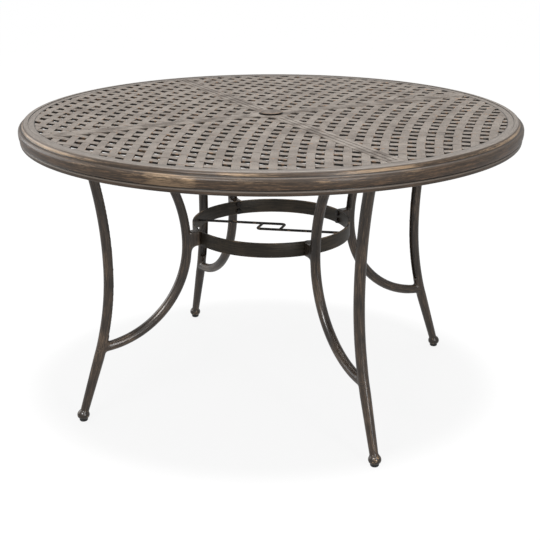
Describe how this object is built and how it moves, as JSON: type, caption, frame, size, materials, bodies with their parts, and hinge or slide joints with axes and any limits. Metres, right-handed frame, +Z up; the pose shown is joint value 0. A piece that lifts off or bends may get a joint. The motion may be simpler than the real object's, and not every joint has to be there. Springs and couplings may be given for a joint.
{
  "type": "umbrella table",
  "caption": "Round metal dining table with a woven lattice top, a capped umbrella hole, a pole guide on a stretcher hoop, and splayed legs with curved braces.",
  "frame": {"origin": "on the floor, under the middle of the top", "axes": "+Z up; the legs stand on the diagonals between +X and +Y"},
  "size_m": [1.2198, 1.22, 0.725],
  "materials": {
    "bronze_rim": "dark brown powder coat, rubbed with copper on the crest and bead, semi-gloss",
    "bronze_lattice": "taupe bronze with coppery flecks at the edges of the strips, semi-gloss",
    "bronze_spoke": "taupe bronze with darker grooves, semi-gloss",
    "bronze_cap": "dark bronze, semi-gloss",
    "bronze_leg": "dark brown with lengthwise brushed gold streaks, semi-gloss",
    "bronze_hoop": "dark bronze with worn golden edges, semi-gloss",
    "bronze_rod": "near-black with golden wear, semi-gloss",
    "dark_bolt": "dark bronze, satin",
    "black_plastic": "black moulded plastic, satin"
  },
  "bodies": {
    "table": {"top_rim": "bronze_rim", "lattice_right_upper": "bronze_lattice", "lattice_right_lower": "bronze_lattice", "lattice_rear_upper": "bronze_lattice", "lattice_rear_lower": "bronze_lattice", "lattice_left_upper": "bronze_lattice", "lattice_left_lower": "bronze_lattice", "lattice_front_upper": "bronze_lattice", "lattice_front_lower": "bronze_lattice", "spoke_right_rear": "bronze_spoke", "spoke_left_rear": "bronze_spoke", "spoke_left_front": "bronze_spoke", "spoke_right_front": "bronze_spoke", "centre_hub": "bronze_spoke", "leg_right_rear": "bronze_leg", "leg_left_rear": "bronze_leg", "leg_left_front": "bronze_leg", "leg_right_front": "bronze_leg", "glide_right_rear": "black_plastic", "glide_left_rear": "black_plastic", "glide_left_front": "black_plastic", "glide_right_front": "black_plastic", "stretcher_hoop": "bronze_hoop", "guide_rod_left": "bronze_rod", "guide_rod_right": "bronze_rod", "hoop_bolts": "dark_bolt", "leg_bolts": "dark_bolt"},
    "cap": {"hole_cap": "bronze_cap"}
  },
  "joints": [
    {"name": "cap_lift", "type": "slide", "parent": "table", "child": "cap", "axis": [0, 0, 1], "range_m": [0, 0.05]}
  ]
}
